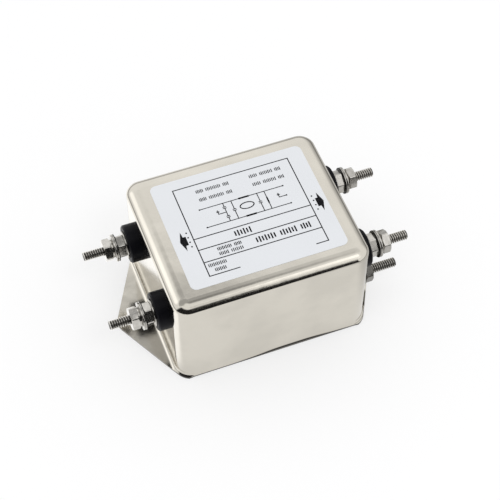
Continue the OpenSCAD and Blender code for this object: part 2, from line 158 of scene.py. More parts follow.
class Finish:
    """A procedural finish: a node tree with one main shader."""

    def __init__(self, name, colour, roughness, metallic=0.0, **constants):
        self.material = bpy.data.materials.new(name)
        self.material.use_nodes = True
        self.tree = self.material.node_tree
        self.shader = self.tree.nodes["Principled BSDF"]
        self.set("Base Color", (*colour, 1.0))
        self.set("Roughness", roughness)
        self.set("Metallic", metallic)
        for socket, constant in constants.items():
            self.set(socket.replace("_", " "), constant)

    def add(self, kind, settings=None, inputs=(), output=0):
        """Adds a node, sets it up, feeds its inputs in order and returns an output."""
        node = self.tree.nodes.new(kind)
        for name, setting in (settings or {}).items():
            setattr(node, name, setting)
        pairs = inputs.items() if isinstance(inputs, dict) else enumerate(inputs)
        for key, feed in pairs:
            if isinstance(feed, Value):
                self.tree.links.new(feed.socket, node.inputs[key])
            elif feed is not None:
                node.inputs[key].default_value = feed
        return Value(self, node.outputs[output])

    def set(self, socket, feed):
        """Sets or feeds one socket of the main shader."""
        if isinstance(feed, Value):
            self.tree.links.new(feed.socket, self.shader.inputs[socket])
        else:
            self.shader.inputs[socket].default_value = feed

    def point(self):
        """The point on the object, in its own coordinates."""
        return self.add("ShaderNodeTexCoord", output="Object")

    def axes(self, point=None):
        """The three coordinates of a point, by default the one on the object."""
        split = self.add("ShaderNodeSeparateXYZ", inputs=[point or self.point()])
        outputs = split.socket.node.outputs
        return [Value(self, outputs[axis]) for axis in ("X", "Y", "Z")]

    def noise(self, size, detail=2.0, stretch=(1.0, 1.0, 1.0), output="Fac"):
        """Soft noise whose lumps are about size metres across, drawn out along stretch."""
        grown = self.add("ShaderNodeVectorMath", {"operation": "DIVIDE"},
                         [self.point(), tuple(size * s for s in stretch)])
        return self.add("ShaderNodeTexNoise", None,
                        {"Vector": grown, "Scale": 1.0, "Detail": detail}, output)

    def mix(self, factor, first, second):
        """A colour between two colours."""
        first, second = [c if isinstance(c, Value) else (*c, 1.0) for c in (first, second)]
        return self.add("ShaderNodeMix", {"data_type": "RGBA"},
                        {0: factor, 6: first, 7: second}, output=2)

    def shade(self, factor, colour, dark, light):
        """A colour between two tints of itself."""
        return self.mix(factor, tint(colour, dark), tint(colour, light))

    def bump(self, height, depth=0.000006):
        """Raises the surface by height times depth metres."""
        feeds = {"Strength": 1.0, "Distance": depth, "Height": height}
        self.set("Normal", self.add("ShaderNodeBump", None, feeds))

    def tin_leads(self, lead, colour):
        """Colours a part, with tinned leads where lead is 1."""
        self.set("Base Color", self.mix(lead, colour, (0.6, 0.6, 0.58)))
        self.set("Metallic", lead)


def tint(colour, factor):
    """A colour made lighter or darker."""
    return tuple(min(1.0, c * factor) for c in colour)


# ---- Finishes ----


def drawn_steel(name, settings, streak, cut_edge_and_gap_shadow=0.0):
    """Bright tin plate over drawn sheet: cloudy, with faint marks along the draw, and
    a dark cut edge at its foot with a painted gap shadow over it."""
    colour, rough = settings.steel_colour, settings.steel_roughness
    finish = Finish(name, colour, rough, 1.0)
    cloud = finish.noise(0.022, 3.0)
    mottle = finish.noise(0.0035, 4.0)
    lines = finish.noise(0.0006, 3.0, streak)
    grain = finish.noise(0.00012, 2.0)
    plate = finish.shade(cloud.ramp(0.35, 0.68), colour, 0.93, 1.03)
    if cut_edge_and_gap_shadow:
        # Cut edge with a painted gap shadow at the case's foot.
        plate = darken_foot_and_gap_shadow(finish, plate, colour, cut_edge_and_gap_shadow)
    finish.set("Base Color", plate)
    finish.set("Roughness", rough * 0.75 + cloud * rough * 0.25 + mottle * 0.03
               + lines.ramp(0.45, 0.7) * 0.03)
    finish.bump(cloud * 30.0 + mottle * 1.6 + lines * 0.5 + grain * 0.1, 0.000004)
    return finish.material


def darken_foot_and_gap_shadow(finish, plate, colour, height):
    """Darkens the trimmed cut edge all round and a strip at the front wall's foot, and over it
    paints a near-black line along the front wall, part cut edge and part painted gap shadow,
    that lies a little higher in the middle."""
    front_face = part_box("case")[0].y
    across, along, up = finish.axes()
    lift = across.between(-0.008, 0.024, 0.012) * height
    front = 1.0 - along.ramp(front_face + 0.0018, front_face + 0.0053)
    # A darker strip at the foot of the front wall.
    under = (1.0 - (up - lift).ramp(height * 0.6, height * 1.1)) * front
    # Part cut edge, part painted gap shadow: a near-black line along the front wall's foot.
    line = (up - lift).between(height * 0.2, height, height * 0.2) * front
    edge = 1.0 - up.ramp(height * 0.6, height * 0.68)
    plate = finish.mix(under.largest(edge), plate, tint(colour, 0.26))
    return finish.mix(line, plate, tint(colour, 0.05))


def plated_hardware(name, settings):
    """Nickel plate on nuts and washers, lightly scuffed; darker at the earth stud."""
    colour = settings.nickel_colour
    finish = Finish(name, colour, 0.2, 1.0)
    scuffs = finish.noise(0.0004, 3.0, (0.4, 1.0, 1.0))
    patch = finish.noise(0.0018, 2.0)
    halfway = (middle_of("earth_stud")[0].z + middle_of(TERMINAL_STUDS[0])[0].z) / 2.0
    # Hardware below halfway, at the earth stud, is made darker.
    earth_darker = finish.axes()[2].below(halfway)
    shade = finish.shade(patch.ramp(0.3, 0.75), colour, 0.86, 1.06)
    finish.set("Base Color", finish.mix(earth_darker, shade, tint(colour, 0.4)))
    finish.set("Roughness", 0.12 + patch * 0.1 + scuffs.ramp(0.5, 0.75) * 0.16)
    finish.bump(scuffs + patch * 2.0)
    return finish.material


def washer_nickel(name, settings, lug_face):
    """Nickel plate on the flat washers, with a painted dark reflection on the face towards the
    wall.
    """
    colour = settings.nickel_colour
    finish = Finish(name, colour, 0.2, 1.0)
    patch = finish.noise(0.0018, 2.0)
    # Painted dark reflection: the face towards the wall is made near black and rougher.
    black = abs(finish.axes()[0]).between(lug_face - 0.0001, lug_face + 0.0004, 0.00008)
    bright = finish.shade(patch.ramp(0.3, 0.75), colour, 0.7, 0.95)
    finish.set("Base Color", finish.mix(black, bright, tint(colour, 0.05)))
    finish.set("Roughness", 0.14 + patch * 0.1 + black * 0.2)
    finish.bump(patch * 2.0)
    return finish.material


def plated_thread(name, settings, axis, crest_r, root_r, shade):
    """Nickel plate on a rolled thread along X, rougher down in its grooves, with painted shade
    darkening the grooves and lighter crests.
    """
    colour = tint(settings.nickel_colour, shade)
    finish = Finish(name, colour, 0.25, 1.0)
    across, up = finish.axes()[1:]
    reach = ((abs(across) - abs(axis.y)) ** 2.0 + (up - axis.z) ** 2.0).reckon("SQRT")
    crest_and_groove_shade = reach.ramp(root_r, crest_r)
    patch = finish.noise(0.0009, 3.0)
    # Painted shade in the grooves, painted light on the crests.
    finish.set("Base Color", finish.shade(crest_and_groove_shade, colour, 0.2, 1.25))
    finish.set("Roughness", 0.38 - crest_and_groove_shade * 0.2 + patch * 0.1)
    finish.bump(patch)
    return finish.material


def moulded(name, colour, roughness, grain=0.0003, depth=0.000006, specular=0.5):
    """Moulded plastic or lacquer: a fine skin with a slight cloudiness."""
    finish = Finish(name, colour, roughness, Specular_IOR_Level=specular)
    skin = finish.noise(grain, 3.0)
    cloud = finish.noise(grain * 18.0, 2.0)
    finish.set("Base Color", finish.shade(cloud.ramp(0.3, 0.7), colour, 0.9, 1.08))
    finish.set("Roughness", roughness * 0.86 + skin * roughness * 0.28)
    finish.bump(skin + cloud * 0.5, depth)
    return finish.material


def label_film(name, settings):
    """White film with a satin face, a little uneven where it was pressed down."""
    colour = settings.film_colour
    finish = Finish(name, colour, 0.42, Specular_IOR_Level=0.4)
    cloud = finish.noise(0.016, 2.0)
    tooth = finish.noise(0.0004, 3.0)
    finish.set("Base Color", finish.mix(cloud.ramp(0.3, 0.7), tint(colour, 0.985), colour))
    finish.set("Roughness", 0.36 + tooth * 0.12)
    finish.bump(cloud * 12.0 + tooth * 0.6, 0.000005)
    return finish.material


def label_ink(name, settings):
    """Black ink that lies a little thin in places."""
    colour = settings.ink_colour
    finish = Finish(name, colour, 0.6, Specular_IOR_Level=0.06)
    patch = finish.noise(0.0005, 3.0)
    thin = [part + 0.02 for part in colour]
    finish.set("Base Color", finish.mix(patch.ramp(0.45, 0.75), colour, thin))
    finish.set("Roughness", 0.45 + patch * 0.2)
    return finish.material


def bare_copper(name):
    """Cut copper strip with heat tint and rolling lines."""
    fresh, old = (0.8, 0.4, 0.22), (0.52, 0.22, 0.12)
    finish = Finish(name, fresh, 0.3, 1.0)
    tarnish = finish.noise(0.004, 4.0)
    rolling = finish.noise(0.0002, 2.0, (1.0, 1.0, 14.0))
    finish.set("Base Color", finish.mix(tarnish.ramp(0.4, 0.7), fresh, old))
    finish.set("Roughness", 0.22 + tarnish * 0.16 + rolling * 0.08)
    finish.bump(rolling, 0.000004)
    return finish.material


def enamelled_wire(name):
    """Copper wire under clear amber enamel."""
    finish = Finish(name, (0.62, 0.2, 0.05), 0.22, 0.85, Coat_IOR=1.55)
    patch = finish.noise(0.003, 3.0)
    finish.set("Base Color", finish.mix(patch, (0.66, 0.24, 0.07), (0.48, 0.13, 0.035)))
    finish.set("Coat Weight", 0.5 + patch * 0.3)
    finish.set("Roughness", 0.18 + patch * 0.1)
    return finish.material


def circuit_board(name):
    """Green solder mask over woven glass."""
    finish = Finish(name, (0.02, 0.14, 0.05), 0.35, Specular_IOR_Level=0.5)
    threads = 5200.0
    across, along = finish.axes()[:2]
    weave = (across * threads).reckon("SINE") * (along * threads).reckon("SINE")
    cloud = finish.noise(0.009, 3.0)
    finish.set("Base Color", finish.mix(cloud, (0.015, 0.11, 0.04), (0.03, 0.19, 0.07)))
    finish.set("Roughness", 0.3 + cloud * 0.14)
    finish.bump(weave + cloud, 0.000008)
    return finish.material


def banded_resistor(name, centre, length):
    """Lacquered body with plain colour bands and tinned leads."""
    body = (0.56, 0.38, 0.2)
    finish = Finish(name, body, 0.3)
    along = (finish.axes()[0] - centre.x) / length
    colour = finish.shade(finish.noise(0.001), body, 0.92, 1.06)
    bands = {-0.3: (0.12, 0.03, 0.01), -0.16: (0.01, 0.01, 0.01), -0.02: (0.02, 0.22, 0.05),
             0.26: (0.45, 0.28, 0.03)}
    for at, ink in bands.items():
        colour = finish.mix(abs(along - at).below(0.035), colour, ink)
    finish.tin_leads(abs(along).above(0.505), colour)
    finish.set("Roughness", 0.24 + finish.noise(0.0006) * 0.14)
    return finish.material


def leaded_part(name, body, board_z):
    """A dipped or boxed part: coloured above the board's face, tinned leads below it."""
    finish = Finish(name, body, 0.32)
    skin = finish.noise(0.0007, 3.0)
    colour = finish.shade(skin.ramp(0.3, 0.7), body, 0.88, 1.06)
    finish.tin_leads(finish.axes()[2].below(board_z), colour)
    finish.set("Roughness", 0.26 + skin * 0.14)
    finish.bump(skin, 0.00001)
    return finish.material


def wear(obj, material):
    """Gives an object one finish all over."""
    obj.data.materials.clear()
    obj.data.materials.append(material)
    for face in obj.data.polygons:
        face.material_index = 0


# ---- Modelling helpers ----


def deselect():
    """Leaves edit mode and selects nothing."""
    if bpy.context.object and bpy.context.object.mode != "OBJECT":
        bpy.ops.object.mode_set(mode="OBJECT")
    bpy.ops.object.select_all(action="DESELECT")


def select_only(obj):
    """Selects one object and makes it the active one."""
    deselect()
    obj.select_set(True)
    bpy.context.view_layer.objects.active = obj


def apply_modifier(obj, kind, **settings):
    """Adds a modifier, sets it up and applies it."""
    select_only(obj)
    modifier = obj.modifiers.new(kind.title(), kind)
    for name, setting in settings.items():
        setattr(modifier, name, setting)
    bpy.ops.object.modifier_apply(modifier=modifier.name)


def edit(obj):
    """Opens an object in edit mode with all of it selected."""
    select_only(obj)
    bpy.ops.object.mode_set(mode="EDIT")
    bpy.ops.mesh.select_all(action="SELECT")


def settle(obj):
    """Puts an object's place, turn and size into its mesh."""
    select_only(obj)
    bpy.ops.object.transform_apply(location=True, rotation=True, scale=True)


def finish_piece(obj, name, material):
    """Names a modelled piece, gives it its finish and lets it ride with the filter."""
    obj.name = obj.data.name = name
    wear(obj, material)
    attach(obj, "root")


def face_up(sheet):
    """Turns every face of a flat sheet upwards."""
    shaped = bmesh.new()
    shaped.from_mesh(sheet.data)
    bmesh.ops.reverse_faces(shaped, faces=[face for face in shaped.faces if face.normal.z < 0.0])
    shaped.to_mesh(sheet.data)
    shaped.free()


def middle_of(node):
    """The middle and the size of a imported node's box."""
    low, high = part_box(node)
    return (low + high) / 2.0, high - low


def copy_of(obj):
    """A copy of an object with a mesh of its own."""
    copy = obj.copy()
    copy.data = obj.data.copy()
    bpy.context.collection.objects.link(copy)
    return copy


def outline(start, steps):
    """A line from a starting point by steps outwards along X and up along Z, in mm."""
    deselect()
    bpy.ops.mesh.primitive_plane_add(size=1.0)
    line = bpy.context.object
    bpy.ops.object.mode_set(mode="EDIT")
    bpy.ops.mesh.merge(type="CENTER")
    bpy.ops.transform.translate(value=(start[0], 0.0, start[1]))
    for outwards, upwards in steps:
        bpy.ops.mesh.extrude_region_move(TRANSFORM_OT_translate={"value": (outwards, 0.0, upwards)})
    bpy.ops.object.mode_set(mode="OBJECT")
    return line


def bevelled_blank(sides, radius, depth, height, bevel, segments):
    """A prism about a height on the Z axis with bevelled edges, in mm."""
    deselect()
    bpy.ops.mesh.primitive_cylinder_add(vertices=sides, radius=radius, depth=depth,
                                        location=(0.0, 0.0, height))
    blank = bpy.context.object
    settle(blank)
    apply_modifier(blank, "BEVEL", width=bevel, segments=segments, limit_method="ANGLE")
    return blank


def cut_with(work, tool, operation):
    """Cuts a piece of work with a tool, and puts the tool away."""
    settle(tool)
    apply_modifier(work, "BOOLEAN", operation=operation, object=tool, solver="EXACT")
    bpy.data.objects.remove(tool)


def face_outwards(obj, seam=0.0):
    """Closes an object's seams, if their width is given, and turns its faces outwards."""
    edit(obj)
    if seam:
        bpy.ops.mesh.remove_doubles(threshold=seam)
    bpy.ops.mesh.normals_make_consistent(inside=False)
    bpy.ops.object.mode_set(mode="OBJECT")


# ---- Threaded studs ----


def threaded_rod(radius, length, thread):
    """A rod up +Z from the origin with a rolled thread and bevelled ends, in mm."""
    pitch, depth = thread.pitch / MM, thread.depth / MM
    crest_flat = pitch / 7.0
    root_flat = pitch / 4.0
    flank = (pitch - crest_flat - root_flat) / 2.0
    spare_turns, trim = 2, 0.02
    rod = outline((radius - depth, -spare_turns * pitch),
                  ((0.0, root_flat), (depth, flank), (0.0, crest_flat), (-depth, flank)))
    apply_modifier(rod, "SCREW", axis="Z", angle=2.0 * math.pi, screw_offset=pitch,
                   iterations=math.ceil(length / pitch) + 2 * spare_turns, steps=thread.steps,
                   render_steps=thread.steps, use_merge_vertices=False)
    edit(rod)
    bpy.ops.mesh.remove_doubles(threshold=0.001)
    for height, way in ((trim, -1.0), (length - trim, 1.0)):
        bpy.ops.mesh.select_all(action="SELECT")
        bpy.ops.mesh.bisect(plane_co=(0.0, 0.0, height), plane_no=(0.0, 0.0, way),
                            use_fill=True, clear_outer=True)
    face_outwards(rod)
    blank = bevelled_blank(thread.steps * 2, radius + 0.001, length - 3.0 * trim, length / 2.0,
                           thread.end_bevel / MM, 2)
    cut_with(rod, blank, "INTERSECT")
    return rod


def stand_stud(rod, node):
    """Lays a rod in the place of a packed stud, its top towards the outside."""
    middle, size = middle_of(node)
    way = math.copysign(1.0, middle.x)
    rod.scale = (MM, MM, MM)
    rod.rotation_euler = (0.0, way * math.pi / 2.0, 0.0)
    rod.location = (middle.x - way * size.x / 2.0, middle.y, middle.z)
    settle(rod)
    bpy.ops.object.shade_smooth_by_angle(angle=math.radians(32.0))


class ThreadSettings(bpy.types.PropertyGroup):
    """Form of the studs' thread."""

    pitch: FloatProperty(
        name="Pitch", description="Rise of the thread in one turn", default=0.00092, min=0.0004,
        max=0.0015, precision=6, unit="LENGTH")
    depth: FloatProperty(
        name="Depth", description="Depth of the thread's groove", default=0.00052, min=0.0001,
        max=0.0007, precision=6, unit="LENGTH")
    end_bevel: FloatProperty(
        name="End bevel", description="Bevel on the studs' ends", default=0.0004, min=0.0001,
        max=0.0008, precision=6, unit="LENGTH")
    steps: IntProperty(
        name="Steps", description="Faces round one turn of the thread", default=28, min=12, max=64)


class LINEFILTER_OT_studs(bpy.types.Operator):
    """Rolls a thread on the four terminal studs and the earth stud"""

    bl_idname = "linefilter.studs"
    bl_label = "Threaded Studs"

    def execute(self, context):
        thread = context.scene.linefilter_thread
        metals = context.scene.linefilter_finish
        for group, name, shade in ((TERMINAL_STUDS, "terminal", 1.0),
                                   (("earth_stud",), "earth", 0.78)):
            middle, size = middle_of(group[0])
            radius = size.z / 2.0
            rod = threaded_rod(radius / MM, size.x / MM, thread)
            metal = plated_thread(f"{name}_thread_nickel", metals, middle, radius,
                                  radius - thread.depth, shade)
            for node in group:
                stud = rod if node == group[-1] else copy_of(rod)
                stand_stud(stud, node)
                finish_piece(stud, f"threaded_{node}", metal)
                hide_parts(node)
        return {"FINISHED"}


# ---- Nuts and washers ----


# Turns about the studs in degrees: far and near stud of the line end, then of the load end.
NO_TURNS = (0.0, 0.0, 0.0, 0.0)
LOCK_TURNS = (-70.0, -70.0, -70.0, -70.0)
CLAMP_TURNS = (32.0, 40.0, 9.0, -10.0)
TERMINAL_TURNS = (5.0, 31.0, -4.0, 10.0)


class HardwareSettings(bpy.types.PropertyGroup):
    """Form of the nuts and washers."""

    flats: FloatProperty(
        name="Flats", description="Width of a nut over its flats", default=0.0086, min=0.007,
        max=0.009, precision=5, unit="LENGTH")
    nut: FloatProperty(
        name="Nut", description="Thickness of a nut", default=0.0031, min=0.0024, max=0.0034,
        precision=5, unit="LENGTH")
    corner: FloatProperty(
        name="Corner", description="Rounding of a nut's six corners", default=0.00042, min=0.00005,
        max=0.0006, precision=6, unit="LENGTH")
    washer: FloatProperty(
        name="Washer", description="Thickness of a flat washer", default=0.0008, min=0.0005,
        max=0.001, precision=5, unit="LENGTH")
    lock: FloatProperty(
        name="Lock washer", description="Thickness of a lock washer", default=0.0009, min=0.0006,
        max=0.0012, precision=5, unit="LENGTH")
    edge: FloatProperty(
        name="Edge", description="Rounding of the washers' rims", default=0.00022, min=0.00005,
        max=0.0004, precision=6, unit="LENGTH")
    hole: FloatProperty(
        name="Hole", description="Diameter of the washers' holes", default=0.0044, min=0.004,
        max=0.005, precision=5, unit="LENGTH")
    bore: FloatProperty(
        name="Bore", description="Diameter of the nuts' bores", default=0.00372, min=0.0035,
        max=0.0042, precision=5, unit="LENGTH")


def drill(blank, diameter, thickness):
    """Drills a hole up through a blank, in mm."""
    deselect()
    bpy.ops.mesh.primitive_cylinder_add(vertices=48, radius=diameter / 2.0, depth=thickness * 3.0)
    cut_with(blank, bpy.context.object, "DIFFERENCE")


def washer(diameter, hole, thickness, edge, split):
    """A ring up +Z from the origin with rounded rims, or one cut open on a side, in mm."""
    ring = bevelled_blank(72, diameter / 2.0, thickness, thickness / 2.0, edge, 3)
    drill(ring, hole, thickness)
    if split:
        deselect()
        bpy.ops.mesh.primitive_cube_add(size=1.0, location=(0.0, diameter / 2.0, thickness / 2.0))
        gap = bpy.context.object
        gap.scale = (thickness, diameter, thickness * 2.0)
        cut_with(ring, gap, "DIFFERENCE")
    return ring


def nut(flats, thickness, bore, corner):
    """A hexagon nut up +Z from the origin: rounded corners, turned bevels, in mm."""
    reach = flats / math.sqrt(3.0)
    bevel = reach - flats / 2.0
    rise = bevel * math.tan(math.radians(30.0))
    turned = outline((0.0, 0.0), ((flats / 2.0, 0.0), (bevel, rise), (0.0, thickness - 2.0 * rise),
                                  (-bevel, rise), (-flats / 2.0, 0.0)))
    apply_modifier(turned, "SCREW", axis="Z", angle=2.0 * math.pi, steps=72, render_steps=72,
                   use_merge_vertices=True)
    face_outwards(turned, seam=0.0005)
    hexagon = bevelled_blank(6, reach, thickness + 2.0, thickness / 2.0, corner, 3)
    cut_with(hexagon, turned, "INTERSECT")
    drill(hexagon, bore, thickness)
    return hexagon


def thread_on(part, places, node, material):
    """Copies a part to its places on the studs and joins the copies to one piece."""
    copies = []
    for spot, way, turn in places:
        copy = copy_of(part)
        copy.matrix_world = (Matrix.Translation(spot) @ Matrix.Rotation(math.radians(turn), 4, "X")
                             @ Matrix.Rotation(way * math.pi / 2.0, 4, "Y") @ Matrix.Scale(MM, 4))
        copies.append(copy)
    bpy.data.objects.remove(part)
    bpy.context.view_layer.update()
    select_only(copies[0])
    for copy in copies[1:]:
        copy.select_set(True)
    bpy.ops.object.join()
    settle(copies[0])
    face_outwards(copies[0])
    bpy.ops.object.shade_smooth_by_angle(angle=math.radians(28.0))
    finish_piece(copies[0], f"{node}_rounded", material)
    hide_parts(node)


class LINEFILTER_OT_hardware(bpy.types.Operator):
    """Threads rounded nuts, flat washers and lock washers on the studs"""

    bl_idname = "linefilter.hardware"
    bl_label = "Nuts and Washers"

    def execute(self, context):
        form = context.scene.linefilter_hardware
        metals = context.scene.linefilter_finish
        studs = [middle_of(stud)[0] for stud in TERMINAL_STUDS]
        earth = middle_of("earth_stud")[0]

        def place(stud, reach, turn):
            way = math.copysign(1.0, stud.x)
            return (way * reach, stud.y, stud.z), way, turn

        def places(reaches, turns, earth_reach, earth_turn):
            spots = [place(stud, reach, turns[2 * (stud.x < 0.0) + (stud.y < 0.0)])
                     for stud in studs for reach in reaches]
            return [*spots, place(earth, earth_reach, earth_turn)]

        def ring(node, thickness, split=False):
            diameter = 2.0 * (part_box(node)[1].z - studs[0].z)
            return washer(diameter / MM, form.hole / MM, thickness / MM, form.edge / MM, split)

        def new_nut():
            return nut(form.flats / MM, form.nut / MM, form.bore / MM, form.corner / MM)

        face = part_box("outer_insulators")[1].x
        clamp = face + form.washer
        lug = clamp + form.nut
        lock = lug + 2.0 * form.washer
        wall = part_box("inner_insulators")[1].x + SHEET
        earth_lock = wall + form.nut + form.washer
        nickel = plated_hardware("nut_nickel", metals)
        thread_on(ring("terminal_washers", form.washer),
                  places((face, lug, lug + form.washer), NO_TURNS, wall + form.nut, 0.0),
                  "terminal_washers", washer_nickel("washer_nickel", metals, lug))
        thread_on(ring("lock_washers", form.lock, split=True),
                  places((lock,), LOCK_TURNS, earth_lock, LOCK_TURNS[0]), "lock_washers", nickel)
        thread_on(new_nut(), places((clamp,), CLAMP_TURNS, wall, 30.0), "clamp_nuts", nickel)
        tops = places((lock + form.lock,), TERMINAL_TURNS, earth_lock + form.lock, 40.0)
        thread_on(new_nut(), tops, "terminal_nuts", nickel)
        return {"FINISHED"}


# ---- Label ----


class Print:
    """Flat ink on the label, drawn in millimetres from the label's middle."""

    def __init__(self, middle, height):
        self.middle = middle
        self.height = height
        deselect()
        bpy.ops.mesh.primitive_plane_add(size=MM)
        self.sheet = bpy.context.object
        bpy.ops.object.mode_set(mode="EDIT")
        bpy.ops.mesh.delete(type="VERT")

    def at(self, x, y):
        """A point of the drawing in the filter's own frame."""
        return (self.middle.x + x * MM, self.middle.y + y * MM, self.height)

    def bar(self, x, y, length, width):
        """A bar about a point, length along X and width along Y."""
        bpy.ops.mesh.select_all(action="DESELECT")
        bpy.ops.mesh.primitive_plane_add(size=MM, location=self.at(x, y))
        bpy.ops.transform.resize(value=(length, width, 1.0), center_override=self.at(x, y))

    def line(self, start, end, width):
        """A level or an upright line from one point to another."""
        (x0, y0), (x1, y1) = start, end
        self.bar((x0 + x1) / 2.0, (y0 + y1) / 2.0, abs(x1 - x0) + width, abs(y1 - y0) + width)

    def dot(self, x, y, radius=0.36, sides=20):
        """A round dot about a point."""
        bpy.ops.mesh.select_all(action="DESELECT")
        bpy.ops.mesh.primitive_circle_add(vertices=sides, radius=radius * MM, fill_type="NGON",
                                          location=self.at(x, y))

    def loop(self, x, y, half_length, half_width, width):
        """An oval line about a point."""
        self.dot(x, y, 1.0, 48)
        bpy.ops.transform.resize(value=(half_length, half_width, 1.0),
                                 center_override=self.at(x, y))
        bpy.ops.mesh.inset(thickness=width * MM)
        bpy.ops.mesh.delete(type="FACE")

    def shape(self, corners):
        """A flat shape, drawn from corner to corner and filled."""
        bpy.ops.mesh.select_all(action="DESELECT")
        bpy.ops.mesh.primitive_plane_add(size=MM, location=self.at(*corners[0]))
        bpy.ops.mesh.merge(type="CENTER")
        for (x0, y0), (x1, y1) in zip(corners, corners[1:]):
            bpy.ops.mesh.extrude_region_move(
                TRANSFORM_OT_translate={"value": ((x1 - x0) * MM, (y1 - y0) * MM, 0.0)})
        bpy.ops.mesh.select_linked()
        bpy.ops.mesh.edge_face_add()

    def arrow(self, x, y, way):
        """A solid arrow with a wide head that is swept back a little past its shaft."""
        half = ((0.0, 0.0), (-1.45, 4.7), (-1.8, 2.1), (-2.9, 2.1))
        corners = [*half, *((along, -across) for along, across in reversed(half[1:]))]
        self.shape([(x + way * along, y + across) for along, across in corners])

    def dry(self, name, material, thickness):
        """Gives the ink its thickness and ends the drawing."""
        bpy.ops.mesh.select_all(action="SELECT")
        bpy.ops.mesh.quads_convert_to_tris()
        bpy.ops.object.mode_set(mode="OBJECT")
        face_up(self.sheet)
        settle(self.sheet)
        apply_modifier(self.sheet, "SOLIDIFY", thickness=thickness, offset=1.0)
        finish_piece(self.sheet, name, material)


class LabelSettings(bpy.types.PropertyGroup):
    """Layout and colours of the label, in millimetres from its middle."""

    film_colour: FloatVectorProperty(
        name="Film", description="Colour of the label's film", subtype="COLOR",
        default=(0.717, 0.734, 0.762), min=0.0, max=1.0)
    ink_colour: FloatVectorProperty(
        name="Ink", description="Colour of the print", subtype="COLOR",
        default=(0.004, 0.004, 0.006), min=0.0, max=1.0)
    corner: FloatProperty(
        name="Corner", description="Radius of the film's corners", default=0.0026, min=0.0,
        max=0.006, precision=5, unit="LENGTH")
    ink_thickness: FloatProperty(
        name="Ink thickness", description="How far the ink stands up", default=0.00002,
        min=0.000005, max=0.00005, precision=6, unit="LENGTH")
    rule: FloatProperty(
        name="Rule", description="Width of the ruled lines, in millimetres", default=0.42, min=0.1,
        max=0.8)
    wire: FloatProperty(
        name="Wire", description="Width of the circuit's lines, in millimetres", default=0.36,
        min=0.1, max=0.6)


def label_sheet(middle, size, settings):
    """The film itself: a thin sheet with round corners, a little under the ink's face."""
    thickness = size.z - settings.ink_thickness
    base = middle.z - size.z / 2.0
    deselect()
    bpy.ops.mesh.primitive_plane_add(size=1.0, location=(middle.x, middle.y, base))
    sheet = bpy.context.object
    sheet.scale = (size.x, size.y, 1.0)
    settle(sheet)
    edit(sheet)
    bpy.ops.mesh.bevel(affect="VERTICES", offset=settings.corner, segments=8)
    bpy.ops.object.mode_set(mode="OBJECT")
    apply_modifier(sheet, "SOLIDIFY", thickness=thickness, offset=1.0)
    finish_piece(sheet, "label_film", label_film("label_film", settings))
    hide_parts("label")
    return base + thickness


def ruled_frame(ink, rule):
    """The frame with its rows; its near side is left open in the middle."""
    left, right, near, far = -23.75, 25.15, -22.3, 21.6
    open_from, open_to = -11.5, 20.2
    rows = (-3.9, -9.4, -15.6)
    for x in (left, right):
        ink.line((x, near), (x, far), rule)
    for y in (far, *rows):
        ink.line((left, y), (right, y), rule)
    ink.line((left, near), (open_from, near), rule)
    ink.line((open_to, near), (right, near), rule)


def circuit(ink, wire):
    """The circuit: two wires through a choke, with its capacitors and resistor."""
    left, right, low, high = -16.8, 18.3, -0.2, 9.0
    middle = (low + high) / 2.0
    choke_x, resistor_x, across_x, to_earth_x = 1.6, 10.25, (-3.75, 7.15), -7.2
    for y in (low, high):
        ink.line((left, y), (right, y), wire)
        ink.bar(choke_x, y, 4.4, 0.8)
        for x in (left, right):
            ink.dot(x, y)
    ink.loop(choke_x, middle + 0.4, 3.1, 1.75, wire * 1.3)
    for x in across_x:
        capacitor(ink, x, low, high, middle, wire)
    capacitor(ink, to_earth_x, middle, high, middle + 2.3, wire)
    capacitor(ink, to_earth_x, low, middle, middle - 2.3, wire)
    earth(ink, to_earth_x, to_earth_x - 3.2, middle, 1.0, wire)
    earth(ink, right - 0.3, right - 3.3, middle - 0.3, 1.2, wire)
    ink.dot(right - 0.3, middle - 0.3)
    ink.line((resistor_x, low), (resistor_x, high), wire)
    ink.bar(resistor_x, middle, 0.62, 3.0)


def capacitor(ink, x, low, high, y, wire):
    """A capacitor's two plates in an upright line."""
    gap = 0.34
    ink.line((x, low), (x, y - gap), wire)
    ink.line((x, y + gap), (x, high), wire)
    for side in (-gap, gap):
        ink.bar(x, y + side, 1.5, wire)


def earth(ink, start, end, y, rise, wire):
    """A line that turns up at its end into an earth sign of three strokes."""
    ink.line((start, y), (end, y), wire)
    ink.line((end, y), (end, y + rise), wire)
    for step, width in enumerate((1.3, 0.85, 0.4)):
        ink.bar(end, y + rise + step * 0.4, width, wire * 0.9)


def blank_lines(ink):
    """Plain hatched strips that hold the places of the label's small print."""
    small, tall = 1.75, 2.9
    for y in (17.9, 13.6):
        strips(ink, -15.4, y, (3.2, 6.4, 2.6), small)
        strips(ink, 7.1, y, (3.6, 5.6, 2.6), small)
    strips(ink, -8.2, -6.7, (7.4,), tall)
    strips(ink, -16.8, -11.3, (6.0, 3.2), small)
    strips(ink, -16.8, -13.7, (4.0, 5.2), small)
    strips(ink, -1.4, -12.5, (8.6, 7.2, 4.4), tall)
    strips(ink, -22.7, -17.6, (7.6,), small)
    strips(ink, -20.9, -20.2, (4.8,), small)


def strips(ink, x, y, lengths, height):
    """Hatched strips one after another from x on, like words in a line."""
    stroke, space = height * 0.21, height * 0.5
    for length in lengths:
        count = round(length / (stroke * 1.9))
        for step in range(count):
            reach = height if step % 2 else height * 0.78
            ink.bar(x + (step + 0.5) * length / count, y, stroke, reach)
        x += length + space


def arrows(ink):
    """An arrow out to each end, with four small dots beside it."""
    for way, tip in ((-1.0, -29.15), (1.0, 30.75)):
        ink.arrow(tip, -3.5, way)
        for step in range(4):
            ink.dot(tip - way * 3.7, 0.1 - step * 2.3, 0.34)


